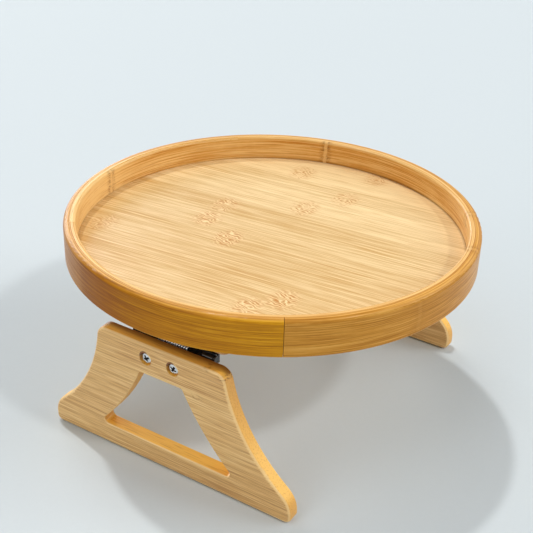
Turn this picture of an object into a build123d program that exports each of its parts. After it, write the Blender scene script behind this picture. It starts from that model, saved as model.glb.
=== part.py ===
from build123d import *
import math
import os

# Sofa arm tray: a round bamboo tray on a crossboard, clipped over a sofa arm
# by two sprung bamboo wings. Millimetres, +Z up, X along the hinge pins and
# the sofa arm, Y across the arm. The origin is the centre of the crossboard's
# underside, the face that rests on the sofa arm.

# Tray
tray_diameter = 280.0
rim_height = 25.0
rim_outer_ply = 4.2
rim_inner_ply = 4.2
glue_line = 0.1
floor_rebate = 0.4
rim_top_outer_edge_radius = 3.0
rim_bottom_outer_edge_radius = 1.5
rim_top_inner_edge_radius = 2.0
floor_thickness = 7.6
butt_joint_gap = 0.3
outer_joint_angle = -55.2
inner_joint_angle = -137.3

# Crossboard under the tray
board_width = 90.0
board_length = 242.0
board_thickness = 10.0
board_corner_radius = 6.0
board_edge_bevel = 1.2
board_screw_spacing_x = 60.0
board_screw_spacing_y = 110.0

# Countersunk wood screws, long ones in the tray and short ones in the hinges
wood_screw_radius = 1.9
wood_screw_head_radius = 3.7
wood_screw_length = 14.0
base_screw_radius = 1.7
base_screw_head_radius = 3.0
base_screw_length = 8.0
screw_clearance = 0.1
screw_end_room = 0.4

# Hinge, placed by its pin
hinge_inset = 9.5
hinge_drop = 12.0
steel = 1.5
pin_radius = 1.6
pin_clearance = 0.05
pin_head_radius = 2.6
pin_head_thickness = 1.2
pin_head_bevel = 0.4
knuckle_end_gap = 0.3
hinge_length = 60.0
web_setback = 4.1
web_drop = 5.0
bend_radius = 0.8
base_flange = 22.0
base_pocket_clearance = 0.3
base_screw_near_row = 6.5
base_screw_far_row = 15.5
base_screw_spacing = 44.0

# Torsion spring on the pin
wire_diameter = 1.3
wire_sides = 5
coil_mean_radius = 3.1
coil_turns = 12
coil_offset = 0.9
coil_pitch = 1.9
coil_end_gap = 0.55
leg_clearance = 0.25
leg_overrun = 0.6
leg_end_room = 0.2

# Wing leaf
leaf_height = 19.5
leaf_corner_radius = 4.0

# Wing
wing_thickness = 10.0
wing_standoff = 6.9
wing_tilt = 3.66
wing_height = 96.3
wing_top_rise = 5.8
wing_top_width = 96.4
wing_bottom_width = 188.4
wing_foot_height = 15.8
wing_side_bow = 9.5
wing_top_corner_radius = 8.0
wing_shoulder_radius = 18.5
wing_foot_corner_radius = 4.2
wing_outer_edge_radius = 2.2
wing_inner_edge_bevel = 1.2

# Window in the wing
window_top_drop = 23.4
window_foot_height = 16.9
window_top_width = 32.6
window_bottom_width = 108.0
window_side_bow = 3.1
window_top_corner_radius = 1.5
window_bottom_corner_radius = 3.0
window_edge_bevel = 0.6

# Wing screws
wing_screw_spacing = 20.6
wing_screw_drop = 11.2
wing_screw_radius = 2.0
wing_screw_hole_clearance = 0.2
counterbore_radius = 4.5
counterbore_depth = 2.4
wing_screw_head_radius = 3.7
wing_screw_head_height = 1.9
wing_screw_head_bevel = 0.8

# Cutting solids run past the faces that they cut by this much
overrun = 1.0

# Values worked out from the ones above
tray_radius = tray_diameter / 2
ply_joint_radius = tray_radius - rim_outer_ply
rim_bore_radius = ply_joint_radius - rim_inner_ply
floor_underside = board_thickness
floor_top = floor_underside + floor_thickness
rim_top = floor_underside + rim_height
board_end = board_length / 2
hinge_y = board_end - hinge_inset
hinge_z = -hinge_drop
knuckle_radius = pin_radius + pin_clearance + steel
bore_radius = pin_radius + pin_clearance
wire_radius = wire_diameter / 2
coil_length = coil_turns * coil_pitch
flange_level = hinge_drop + steel
base_leg_x = coil_length / 2 - coil_offset
wing_leg_x = base_leg_x - coil_length
inner_knuckle_start = -wing_leg_x + wire_radius + coil_end_gap
knuckle_length = (hinge_length / 2 - inner_knuckle_start - knuckle_end_gap) / 2
inner_knuckle_end = inner_knuckle_start + knuckle_length
outer_knuckle_start = inner_knuckle_end + knuckle_end_gap
leg_hole_radius = wire_radius + leg_clearance
wing_bottom = wing_top_rise - wing_height
shoulder_height = wing_bottom + wing_foot_height
window_bottom = wing_bottom + window_foot_height
leaf_inner_face = wing_standoff - steel


def at_hinge(shape):
    """Moves a shape from the pin's frame to its place on the back side."""
    return Pos(0, hinge_y, hinge_z) * shape


def at_wing(shape):
    """The same for what swings, with the wing drawn in at its foot."""
    return Pos(0, hinge_y, hinge_z) * Rot(-wing_tilt, 0, 0) * shape


def both_ways(shape):
    """A shape and its mirror image across the YZ plane, as a pair."""
    return [shape, mirror(shape, Plane.YZ)]


def block(x_low, x_high, y_low, y_high, z_low, z_high):
    """An upright box between six faces."""
    middle = Pos((x_low + x_high) / 2, (y_low + y_high) / 2, (z_low + z_high) / 2)
    return middle * Box(x_high - x_low, y_high - y_low, z_high - z_low)


def countersunk_screw(radius, head_radius, length):
    """A screw with its flat head face at z = 0 and its end up at +Z."""
    sink = head_radius - radius
    outline = Polyline(
        (0, 0), (head_radius, 0), (radius, sink), (radius, length), (0, length), close=True
    )
    return revolve(Plane.XZ * make_face(outline), Axis.Z)


def screw_hole(radius, head_radius, depth):
    """The countersunk hole for such a screw, with its clearance."""
    hole_radius = radius + screw_clearance
    sink = head_radius - radius
    mouth = head_radius + screw_clearance
    outline = Polyline(
        (0, -overrun),
        (mouth, -overrun),
        (mouth, 0),
        (hole_radius, sink),
        (hole_radius, depth),
        (0, depth),
        close=True,
    )
    return revolve(Plane.XZ * make_face(outline), Axis.Z)


def rim_band(inner, outer, low, high, joint_angle, rounding):
    """A bent ply: its section turned round Z, all but the butt joint."""
    middle = Pos((inner + outer) / 2, (low + high) / 2)
    section = Plane.XZ * middle * Rectangle(outer - inner, high - low)
    section = rounding(section)
    joint = math.degrees(butt_joint_gap / outer)
    band = revolve(section, Axis.Z, revolution_arc=360 - joint)
    return Rot(0, 0, joint_angle + joint / 2) * band


def round_outer_corners(section):
    low, high = section.vertices().sort_by(Axis.X)[-2:].sort_by(Axis.Z)
    section = fillet(high, rim_top_outer_edge_radius)
    low = section.vertices().sort_by_distance(tuple(low))[0]
    return fillet(low, rim_bottom_outer_edge_radius)


def round_inner_top(section):
    corner = section.vertices().sort_by(Axis.X)[:2].sort_by(Axis.Z)[-1]
    return fillet(corner, rim_top_inner_edge_radius)


def board_screw_places():
    half_x = board_screw_spacing_x / 2
    half_y = board_screw_spacing_y / 2
    return [(x, y) for x in (-half_x, half_x) for y in (-half_y, half_y)]


def base_screw_places():
    """Two screws beside the web and a third further in, between them."""
    near = -web_setback - steel - base_screw_near_row
    far = -web_setback - steel - base_screw_far_row
    half = base_screw_spacing / 2
    return [(-half, near), (half, near), (0, far)]


def make_floor():
    """A disc with a shallow rebate round its top for the inner ply."""
    disc_radius = ply_joint_radius - glue_line
    disc = Pos(0, 0, floor_underside + floor_thickness / 2) * Cylinder(disc_radius, floor_thickness)
    rebate = Cylinder(disc_radius + overrun, 2 * floor_rebate)
    rebate -= Cylinder(rim_bore_radius - glue_line, 2 * floor_rebate)
    disc -= Pos(0, 0, floor_top) * rebate
    depth = wood_screw_length + screw_end_room
    for x, y in board_screw_places():
        pilot = screw_hole(wood_screw_radius, wood_screw_head_radius, depth)
        disc -= Pos(x, y, 0) * pilot
    return disc


def make_crossboard():
    """The board, with a pocket at each end that takes a hinge flange flush."""
    slab = extrude(
        RectangleRounded(board_width, board_length, board_corner_radius), board_thickness
    )
    slab = chamfer(slab.edges().group_by(Axis.Z)[0], board_edge_bevel)
    through = board_thickness + overrun
    for x, y in board_screw_places():
        slab -= Pos(x, y, 0) * screw_hole(wood_screw_radius, wood_screw_head_radius, through)
    half = hinge_length / 2 + base_pocket_clearance
    flange_end = hinge_y - web_setback - steel - base_flange - base_pocket_clearance
    pocket = block(-half, half, flange_end, board_end + overrun, -overrun, steel)
    pilot = Cylinder(
        base_screw_radius + screw_clearance,
        base_screw_length + screw_end_room,
        align=(Align.CENTER, Align.CENTER, Align.MIN),
    )
    for side in (0, 180):
        slab -= Rot(0, 0, side) * pocket
        for x, y in base_screw_places():
            slab -= Rot(0, 0, side) * Pos(x, hinge_y + y, 0) * pilot
    return slab


def make_hinge_base():
    """Flange, web and two outer knuckles, pressed from one sheet."""
    half = hinge_length / 2
    web_outer = -web_setback
    web_inner = web_outer - steel
    top = flange_level
    flange_end = web_inner - base_flange
    profile = Polyline(
        (flange_end, top),
        (web_outer, top),
        (web_outer, -web_drop),
        (web_inner, -web_drop),
        (web_inner, top - steel),
        (flange_end, top - steel),
        close=True,
    )
    sheet = make_face(profile)
    outer_bend = sheet.vertices().sort_by_distance((web_outer, top))[0]
    sheet = fillet(outer_bend, bend_radius + steel)
    inner_bend = sheet.vertices().sort_by_distance((web_inner, top - steel))[0]
    sheet = fillet(inner_bend, bend_radius)
    base = extrude(Plane.YZ * sheet, half, both=True)
    knuckle = make_knuckle(web_outer, -1)
    for start in (-half, outer_knuckle_start):
        base += Pos(start, 0, 0) * extrude(Plane.YZ * knuckle, knuckle_length)
    base -= pin_bore(half)
    base -= Rot(-wing_tilt, 0, 0) * leg_hole(base_leg_x, -1)
    for x, y in base_screw_places():
        hole = screw_hole(base_screw_radius, base_screw_head_radius, steel + overrun)
        base -= Pos(x, y, top - steel) * hole
    return base


def make_knuckle(tongue_end, side):
    """Section of a rolled knuckle: a ring, and over or under it the tongue."""
    ring = Circle(knuckle_radius)
    level = side * (knuckle_radius - steel / 2)
    return ring + Pos(tongue_end / 2, level) * Rectangle(abs(tongue_end), steel)


def pin_bore(half):
    """The bore that runs through every knuckle, along X."""
    return Rot(0, 90, 0) * Cylinder(bore_radius, 2 * (half + overrun))


def leg_hole(x, way):
    """A hole along Y for a spring leg, at the coil's lowest line."""
    reach = wing_standoff + overrun
    bore = Cylinder(leg_hole_radius, reach, align=(Align.CENTER, Align.CENTER, Align.MIN))
    return Pos(x, 0, -coil_mean_radius) * Rot(-way * 90, 0, 0) * bore


def make_hinge_pin():
    half = hinge_length / 2 + leg_end_room
    shank = Rot(0, 90, 0) * Cylinder(pin_radius, 2 * half)
    head = Cylinder(
        pin_head_radius, pin_head_thickness, align=(Align.CENTER, Align.CENTER, Align.MIN)
    )
    head = chamfer(head.edges().group_by(Axis.Z)[-1], pin_head_bevel)
    for end in both_ways(Pos(half, 0, 0) * Rot(0, 90, 0) * head):
        shank += end
    return shank


def coil_point(turn):
    """A point of the coil's centre line, turns counted from its start."""
    angle = 2 * math.pi * turn - math.pi / 2
    return Vector(
        base_leg_x - coil_pitch * turn,
        coil_mean_radius * math.cos(angle),
        coil_mean_radius * math.sin(angle),
    )


def coil_heading(turn):
    """The centre line's direction there."""
    angle = 2 * math.pi * turn - math.pi / 2
    round_trip = 2 * math.pi * coil_mean_radius
    heading = Vector(-coil_pitch, -round_trip * math.sin(angle), round_trip * math.cos(angle))
    return heading.normalized()


def biarc(start, start_heading, end, end_heading):
    """Two tangent arcs from one point and heading to another.

    The arcs meet half way between the ends of two equal tangent lengths,
    whose size makes the step between those ends twice that length.
    """
    chord = end - start
    headings = start_heading + end_heading
    along = chord.dot(headings)
    spread = 1 - start_heading.dot(end_heading)
    tangent_length = (
        -along + math.sqrt(along**2 + 2 * chord.dot(chord) * spread)
    ) / (2 * spread)
    near = start + start_heading * tangent_length
    far = end - end_heading * tangent_length
    joint = (near + far) / 2
    return [
        Edge.make_tangent_arc(start, start_heading, joint),
        Edge.make_tangent_arc(joint, (far - near).normalized(), end),
    ]


def spring_path():
    """Leg, turns as half-turn biarcs, leg."""
    square = Vector(0, 1, 0)
    web_inner = web_setback + steel
    start = coil_point(0)
    end = coil_point(coil_turns)
    edges = [Edge.make_line(start - square * (web_inner + leg_overrun), start)]
    halves = 2 * coil_turns
    for half in range(halves):
        first = half / 2
        last = (half + 1) / 2
        heading = square if half == 0 else coil_heading(first)
        next_heading = square if half == halves - 1 else coil_heading(last)
        edges += biarc(coil_point(first), heading, coil_point(last), next_heading)
    edges.append(Edge.make_line(end, end + square * (wing_standoff - leg_end_room)))
    return edges


def report_coil_gap(edges):
    """Least gap between the wire and itself, measured on points."""
    samples = 12
    points = []
    travelled = 0.0
    for edge in edges:
        for step in range(samples):
            share = step / samples
            points.append((travelled + edge.length * share, edge.position_at(share)))
        travelled += edge.length
    apart = math.pi * coil_mean_radius
    least = min(
        (first - second).length
        for i, (s, first) in enumerate(points)
        for t, second in points[i + 1 :]
        if t - s > apart
    )
    print("spring: least gap to itself", round(least - wire_diameter, 3), "mm")


def make_spring():
    edges = spring_path()
    report_coil_gap(edges)
    path = Wire(edges)
    start = path.position_at(0)
    section = Plane(origin=start, z_dir=(0, 1, 0)) * RegularPolygon(wire_radius, wire_sides)
    return sweep(section, path=path)


def make_wing_leaf():
    """Plate on the wing and two inner knuckles, pressed from one sheet."""
    half = inner_knuckle_end
    top = knuckle_radius
    leaf = block(-half, half, leaf_inner_face, wing_standoff, top - leaf_height, top)
    lower_corners = leaf.edges().filter_by(Axis.Y).group_by(Axis.Z)[0]
    leaf = fillet(lower_corners, leaf_corner_radius)
    knuckle = make_knuckle(leaf_inner_face + steel / 2, 1)
    for start in (-half, inner_knuckle_start):
        leaf += Pos(start, 0, 0) * extrude(Plane.YZ * knuckle, knuckle_length)
    leaf -= pin_bore(half)
    leaf -= leg_hole(wing_leg_x, 1)
    for x in (-wing_screw_spacing / 2, wing_screw_spacing / 2):
        z = wing_top_rise - wing_screw_drop
        hole = Cylinder(wing_screw_radius + pin_clearance, wing_standoff)
        leaf -= Pos(x, wing_standoff, z) * Rot(90, 0, 0) * hole
    return leaf


def wing_outline():
    """A narrow top, sides that flare in one arc, and upright shoulders."""
    top = wing_top_rise
    half_top = wing_top_width / 2
    half_low = wing_bottom_width / 2
    shoulder = (half_low, shoulder_height)
    right = [
        SagittaArc((half_top, top), shoulder, -wing_side_bow),
        Line(shoulder, (half_low, wing_bottom)),
    ]
    outline = closed_outline(right, (half_top, top), (half_low, wing_bottom))
    outline = round_corners(outline, (half_top, top), wing_top_corner_radius)
    outline = round_corners(outline, shoulder, wing_shoulder_radius)
    return round_corners(outline, (half_low, wing_bottom), wing_foot_corner_radius)


def window_outline():
    """The window: a flared shape whose sides run beside the wing's sides."""
    top = (window_top_width / 2, wing_top_rise - window_top_drop)
    low = (window_bottom_width / 2, window_bottom)
    outline = closed_outline([SagittaArc(top, low, -window_side_bow)], top, low)
    outline = round_corners(outline, top, window_top_corner_radius)
    return round_corners(outline, low, window_bottom_corner_radius)


def closed_outline(right, top_corner, low_corner):
    """A face from its right side, the mirrored left side and both ends."""
    left = [mirror(edge, Plane.YZ) for edge in right]
    top_x, top_y = top_corner
    low_x, low_y = low_corner
    ends = [Line((-top_x, top_y), (top_x, top_y)), Line((-low_x, low_y), (low_x, low_y))]
    return make_face([*right, *left, *ends])


def round_corners(face, corner, radius):
    """Rounds the corners at a place and at its mirror image."""
    for x in (-corner[0], corner[0]):
        vertex = face.vertices().sort_by_distance((x, corner[1]))[0]
        face = fillet(vertex, radius)
    return face


def make_wing():
    panel = stand_up(wing_outline())
    panel = fillet(panel.faces().sort_by(Axis.Y)[-1].edges(), wing_outer_edge_radius)
    panel = chamfer(panel.faces().sort_by(Axis.Y)[0].edges(), wing_inner_edge_bevel)
    panel -= stand_up(window_outline())
    for end in (-1, 0):
        face = panel.faces().filter_by(Axis.Y).sort_by(Axis.Y)[end]
        window_rim = face.inner_wires()[0]
        panel = chamfer(window_rim.edges(), window_edge_bevel)
    for x in (-wing_screw_spacing / 2, wing_screw_spacing / 2):
        place = Pos(x, wing_standoff + wing_thickness, wing_top_rise - wing_screw_drop)
        place = place * Rot(90, 0, 0)
        hole_radius = wing_screw_radius + wing_screw_hole_clearance
        panel -= place * Cylinder(hole_radius, 2 * (wing_thickness + overrun))
        panel -= place * Cylinder(counterbore_radius, 2 * counterbore_depth)
    return panel


def stand_up(face):
    """A panel of the wing's thickness from a face drawn in X and Z."""
    return Pos(0, wing_standoff + wing_thickness, 0) * extrude(Plane.XZ * face, wing_thickness)


def make_wing_screws():
    """Two cross-head machine screws, heads on the counterbore floors."""
    seat = wing_standoff + wing_thickness - counterbore_depth
    length = seat - leaf_inner_face
    head = Cylinder(
        wing_screw_head_radius,
        wing_screw_head_height,
        align=(Align.CENTER, Align.CENTER, Align.MAX),
    )
    head = chamfer(head.edges().group_by(Axis.Z)[0], wing_screw_head_bevel)
    shank = Cylinder(wing_screw_radius, length, align=(Align.CENTER, Align.CENTER, Align.MIN))
    screw = head + shank
    z = wing_top_rise - wing_screw_drop
    half = wing_screw_spacing / 2
    return [Pos(x, seat, z) * Rot(90, 0, 0) * screw for x in (-half, half)]


def make_board_screws():
    screw = countersunk_screw(wood_screw_radius, wood_screw_head_radius, wood_screw_length)
    return [Pos(x, y, 0) * screw for x, y in board_screw_places()]


def make_base_screws():
    screw = countersunk_screw(base_screw_radius, base_screw_head_radius, base_screw_length)
    return [Pos(x, y, hinge_drop) * screw for x, y in base_screw_places()]


def write(name, shape):
    """Writes one piece, or a group of separate solids, to its own file."""
    if isinstance(shape, list):
        solids = [solid for item in shape for solid in item.solids()]
        shape = Compound(children=solids)
    elif len(shape.solids()) == 1:
        shape = shape.solids()[0]
    shape.label = name
    export_step(shape, f"parts/{name}.step")


def placed(shape, place, side):
    """A hinge-frame shape, or list of them, on the front or back side."""
    turn = Rot(0, 0, 0 if side == "back" else 180)
    if isinstance(shape, list):
        return [turn * place(item) for item in shape]
    return turn * place(shape)


def main():
    os.makedirs("parts", exist_ok=True)
    write("tray_floor", make_floor())
    write(
        "rim_outer_band",
        rim_band(
            ply_joint_radius, tray_radius, floor_underside, rim_top,
            outer_joint_angle, round_outer_corners,
        ),
    )
    write(
        "rim_inner_band",
        rim_band(
            rim_bore_radius, ply_joint_radius - glue_line, floor_top - floor_rebate, rim_top,
            inner_joint_angle, round_inner_top,
        ),
    )
    write("crossboard", make_crossboard())
    write("crossboard_screws", make_board_screws())
    fixed = {
        "hinge_base": make_hinge_base(),
        "base_screws": make_base_screws(),
        "hinge_pin": make_hinge_pin(),
    }
    swinging = {
        "spring": make_spring(),
        "wing_leaf": make_wing_leaf(),
        "wing": make_wing(),
        "wing_screws": make_wing_screws(),
    }
    for side in ("front", "back"):
        for name, shape in fixed.items():
            write(f"{side}_{name}", placed(shape, at_hinge, side))
        for name, shape in swinging.items():
            write(f"{side}_{name}", placed(shape, at_wing, side))


main()
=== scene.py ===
"""Sofa arm tray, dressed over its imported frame.

Laminated bamboo, black steel hinges, wire springs and bright screws, on a
plain pale studio floor. Metres, +Z up, X along the hinge pins, the front wing
towards -Y, and the origin on the crossboard's underside.
"""

import math

import bpy
import numpy as np
from bpy.props import FloatProperty, FloatVectorProperty, IntProperty, PointerProperty
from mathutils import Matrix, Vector


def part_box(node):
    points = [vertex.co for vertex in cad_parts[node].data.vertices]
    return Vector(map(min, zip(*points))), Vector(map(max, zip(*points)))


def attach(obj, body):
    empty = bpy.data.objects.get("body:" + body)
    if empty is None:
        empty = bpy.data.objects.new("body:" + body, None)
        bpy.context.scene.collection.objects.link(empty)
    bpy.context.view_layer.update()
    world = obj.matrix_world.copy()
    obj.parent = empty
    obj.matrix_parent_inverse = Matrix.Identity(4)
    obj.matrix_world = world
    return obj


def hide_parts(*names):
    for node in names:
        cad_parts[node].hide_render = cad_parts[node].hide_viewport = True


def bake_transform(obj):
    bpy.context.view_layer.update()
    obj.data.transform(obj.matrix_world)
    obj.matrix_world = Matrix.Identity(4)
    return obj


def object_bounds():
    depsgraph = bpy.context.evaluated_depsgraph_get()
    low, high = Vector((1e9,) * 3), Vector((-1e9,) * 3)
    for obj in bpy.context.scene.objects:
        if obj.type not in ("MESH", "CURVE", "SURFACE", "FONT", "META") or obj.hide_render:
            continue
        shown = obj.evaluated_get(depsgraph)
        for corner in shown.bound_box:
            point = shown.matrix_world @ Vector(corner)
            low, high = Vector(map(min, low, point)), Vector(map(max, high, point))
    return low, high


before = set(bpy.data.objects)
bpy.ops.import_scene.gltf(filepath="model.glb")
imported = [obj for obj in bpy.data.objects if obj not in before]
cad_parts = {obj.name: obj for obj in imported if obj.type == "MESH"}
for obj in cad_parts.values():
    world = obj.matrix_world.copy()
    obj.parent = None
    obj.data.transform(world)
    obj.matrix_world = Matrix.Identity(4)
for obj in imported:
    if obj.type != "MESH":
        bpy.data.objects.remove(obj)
cad_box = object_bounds()

bl_info = {
    "name": "Sofa arm tray",
    "version": (1, 0, 0),
    "blender": (4, 5, 0),
    "location": "3D View > Sidebar > Sofa tray",
    "description": "Dresses the bamboo clip-on tray with its materials, springs and screws",
    "category": "Object",
}

MM = 0.001
# Middle of the rim's wall, where the plies' arc lengths are measured
RIM_RADIUS = 136.0 * MM
# How far a hinge spring sits off the middle of its pin, and points in each leg
SPRING_SHIFT = 0.9 * MM
LEG_POINTS = 8
# A wing screw's place from the hinge pin before the wing leans, and the lean
WING_SCREW = (10.3, 16.4, -5.4)
WING_LEAN = math.radians(3.66)
# Places of the screws in the crossboard, and from the hinge pin in its base
BOARD_SCREWS = [(x, y, 0.0) for x in (-30.0, 30.0) for y in (-55.0, 55.0)]
BASE_SCREWS = [(-22.0, -12.1, 12.0), (22.0, -12.1, 12.0), (0.0, -21.1, 12.0)]
# The photograph's viewpoint, in metres, and its turns in degrees
CAMERA_PLACE = (0.33156, -0.54619, 0.34698)
CAMERA_TURN = (60.933, -1.6737, 32.476)


def from_hex(code):
    """An sRGB hex colour as linear red, green and blue, with full cover."""
    parts = [int(code[i : i + 2], 16) / 255 for i in (1, 3, 5)]
    parts = [c / 12.92 if c <= 0.04045 else ((c + 0.055) / 1.055) ** 2.4 for c in parts]
    return (*parts, 1.0)


def colour(name, code, description):
    """A colour that the user can change, from its hex value."""
    settings = {"subtype": "COLOR", "size": 4, "min": 0, "max": 1, "default": from_hex(code)}
    return FloatVectorProperty(name=name, description=description, **settings)


def length(name, millimetres, description):
    """A length that the user can change, from its millimetres."""
    return FloatProperty(
        name=name, description=description, default=millimetres * MM, unit="LENGTH", precision=5
    )


def bearing(name, degrees, description):
    """An angle that the user can change, from its degrees."""
    turn = math.radians(degrees)
    return FloatProperty(name=name, description=description, default=turn, subtype="ANGLE")


class SofaTraySizes(bpy.types.PropertyGroup):
    """Sizes of the pieces that the frame leaves to this file."""

    strip_width: length("Strip width", 20.0, "Width of one bamboo strip in the tray floor")
    fibre_width: length("Fibre width", 1.0, "Spacing of the finest fibre streaks")
    floor_grain_turn: bearing("Floor grain turn", 4.7, "Turn of the floor's strips from the pins")
    outer_joint: bearing("Outer ply joint", -55.2, "Where the ends of the rim's outer ply meet")
    inner_joint: bearing("Inner ply joint", -137.3, "Where the ends of the rim's inner ply meet")
    wire_diameter: length("Wire diameter", 1.3, "Thickness of the spring wire")
    coil_radius: length("Coil radius", 3.1, "Middle of the spring wire from the pin's axis")
    coil_pitch: length("Coil pitch", 1.9, "Advance of the spring in one turn")
    coil_turns: IntProperty(
        name="Coil turns", description="Turns of each hinge spring", default=12, min=1
    )
    tray_leg: length("Tray leg", 6.2, "Length of the spring's leg on the hinge base")
    wing_leg: length("Wing leg", 6.7, "Length of the spring's leg on the wing leaf")
    cross_arm: length("Cross arm", 2.5, "Reach of a screw's cross recess from its middle")
    cross_width: length("Cross width", 1.45, "Width of the slots in a cross recess")
    cross_depth: length("Cross depth", 1.15, "Depth of a cross recess at its middle")


class SofaTrayColours(bpy.types.PropertyGroup):
    """Colours of the finishes."""

    floor_light: colour("Floor light", "#f5d59e", "Pale fibres of the tray floor")
    floor_mid: colour("Floor middle", "#dfbd84", "Main tone of the tray floor")
    floor_dark: colour("Floor dark", "#c7974f", "Dark fibres of the tray floor")
    rim_light: colour("Rim light", "#f1c680", "Pale fibres of the rim's inner ply")
    rim_mid: colour("Rim middle", "#d89c49", "Main tone of the rim's inner ply")
    rim_dark: colour("Rim dark", "#b97428", "Dark fibres of the rim's inner ply")
    outer_light: colour("Outer ply light", "#e6af5c", "Pale fibres of the rim's outer ply")
    outer_mid: colour("Outer ply middle", "#cd903a", "Main tone of the rim's outer ply")
    outer_dark: colour("Outer ply dark", "#a96e24", "Dark fibres of the rim's outer ply")
    wing_light: colour("Wing light", "#ffd999", "Pale fibres of the wings")
    wing_mid: colour("Wing middle", "#efbf79", "Main tone of the wings")
    wing_dark: colour("Wing dark", "#c68e52", "Dark fibres of the wings")
    board_light: colour("Board light", "#d9a566", "Pale fibres of the crossboard")
    board_mid: colour("Board middle", "#c58d4f", "Main tone of the crossboard")
    board_dark: colour("Board dark", "#9b6330", "Dark fibres of the crossboard")
    scar: colour("Node scar", "#8a501c", "Brown marks where a bamboo stem had a node")
    # Painted shade: a brown for the shade in the corner between the rim and the tray floor
    corner: colour("Corner line", "#84541f", "Lacquer gathered between the rim and the tray floor")
    # Painted shade: a brown for the tray's shade on the wings' tops and the shade in their
    # counterbores
    painted_wing_shade: colour("Saw scorch", "#7c3f10", "Brown that the saw and the cutter leave on a wing")
    floor_scar: colour("Floor scar", "#c07e30", "The same marks on the tray floor")
    black: colour("Black steel", "#17181a", "Black finish of the hinges")
    wire: colour("Spring wire", "#e8eaec", "Bright drawn steel of the springs")
    zinc: colour("Zinc", "#c9ccd0", "Zinc plating of the long wood screws")
    chrome: colour("Chrome", "#cfd0d0", "Chrome plating of the wing screws")


class SofaTrayStage(bpy.types.PropertyGroup):
    """Camera, lamps and floor."""

    focal_length: FloatProperty(
        name="Focal length", description="Camera lens in millimetres", default=70.92, min=10
    )
    lamp_level: FloatProperty(
        name="Lamp level", description="Brightness of all the lamps together", default=1.0, min=0
    )
    sky: FloatProperty(name="Room light", description="Strength of the room light", default=0.2)
    sky_tone: colour("Room light tone", "#f7faff", "Colour of the room light")
    floor_tone: colour("Studio floor", "#cbd3d6", "Pale floor under the tray")
    wall_tone: colour("Studio walls", "#dde5e9", "Pale walls that the camera and gloss see")


def chosen(context):
    """The sizes and colours that the scene holds."""
    return context.scene.sofa_tray_sizes, context.scene.sofa_tray_colours


# Meshes


def new_piece(name, points, faces, material, smooth=True):
    """A mesh object at the origin with its place in its points."""
    mesh = bpy.data.meshes.new(name)
    mesh.from_pydata(points.tolist(), [], faces)
    mesh.update()
    mesh.polygons.foreach_set("use_smooth", np.full(len(mesh.polygons), smooth))
    mesh.materials.append(material)
    piece = bpy.data.objects.new(name, mesh)
    bpy.context.collection.objects.link(piece)
    return piece


def grid_faces(rows, columns, start=0):
    """Quads between neighbouring rows of a grid whose columns close in a ring."""
    row = np.arange(rows - 1)[:, None] * columns
    here = np.arange(columns)[None, :]
    after = (here + 1) % columns
    quads = np.stack([row + here, row + after, row + columns + after, row + columns + here], -1)
    return quads.reshape(-1, 4) + start


def on_side(points, side):
    """From the back hinge pin's frame to a side's own place.

    The back side is a shift to its pin. The front side is that, turned half
    way round Z.
    """
    low, high = (np.array(v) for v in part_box(side + "_hinge_pin"))
    pin = (low + high) / 2
    sign = 1.0 if side == "back" else -1.0
    return points * [sign, sign, 1.0] + [0.0, pin[1], pin[2]]


def eased(share):
    """Smooth step: 3 s squared less 2 s cubed."""
    share = np.clip(share, 0, 1)
    return share * share * (3 - 2 * share)


def spun(angle):
    """The matrix that turns points about Z."""
    cos, sin = math.cos(angle), math.sin(angle)
    return np.array([[cos, -sin, 0], [sin, cos, 0], [0, 0, 1.0]])


def spring_line(sizes):
    """Centre line of a hinge spring in the pin's frame.

    A leg along Y, then turns about X at one radius while X falls by the pitch
    in each turn, then a leg along Y. Within a quarter turn of either end the
    fall in X eases in, so the legs meet the coil squarely.
    """
    turns, pitch, radius = sizes.coil_turns, sizes.coil_pitch, sizes.coil_radius
    points_a_turn, ease = 28, 0.25
    steps = np.linspace(0, turns, turns * points_a_turn + 1)
    angle = 2 * np.pi * steps - np.pi / 2
    left = turns - steps
    fall = np.where(steps < ease, steps * eased(steps / ease), steps)
    fall = np.where(left < ease, turns - left * eased(left / ease), fall)
    along = turns * pitch / 2 - SPRING_SHIFT - pitch * fall
    coil = np.stack([along, radius * np.cos(angle), radius * np.sin(angle)], 1)
    share = np.linspace(0, 1, LEG_POINTS)[:, None]
    first = coil[0] - np.array([0, sizes.tray_leg, 0]) * (1 - share[:-1])
    last = coil[-1] + np.array([0, sizes.wing_leg, 0]) * share[1:]
    return np.concatenate([first, coil, last])


def tube(line, radius, sides):
    """A ring of points about each point of a line, and its closed faces.

    A ring lies in the plane across the line's direction there. Its first axis
    is the direction crossed with X, so the rings never twist.
    """
    heading = np.gradient(line, axis=0)
    heading /= np.linalg.norm(heading, axis=1)[:, None]
    across = np.cross(heading, [1.0, 0.0, 0.0])
    across /= np.linalg.norm(across, axis=1)[:, None]
    up = np.cross(heading, across)
    turn = np.arange(sides) * 2 * np.pi / sides
    rings = (
        line[:, None]
        + radius * np.cos(turn)[None, :, None] * across[:, None]
        + radius * np.sin(turn)[None, :, None] * up[:, None]
    )
    tips = np.stack([line[0], line[-1]])
    points = np.concatenate([rings.reshape(-1, 3), tips])
    count = len(line) * sides
    faces = grid_faces(len(line), sides)
    here = np.arange(sides)
    after = (here + 1) % sides
    front = np.stack([np.full(sides, count), after, here], 1)
    back = np.stack([np.full(sides, count + 1), count - sides + here, count - sides + after], 1)
    return points, faces.tolist() + front.tolist() + back.tolist()


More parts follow.
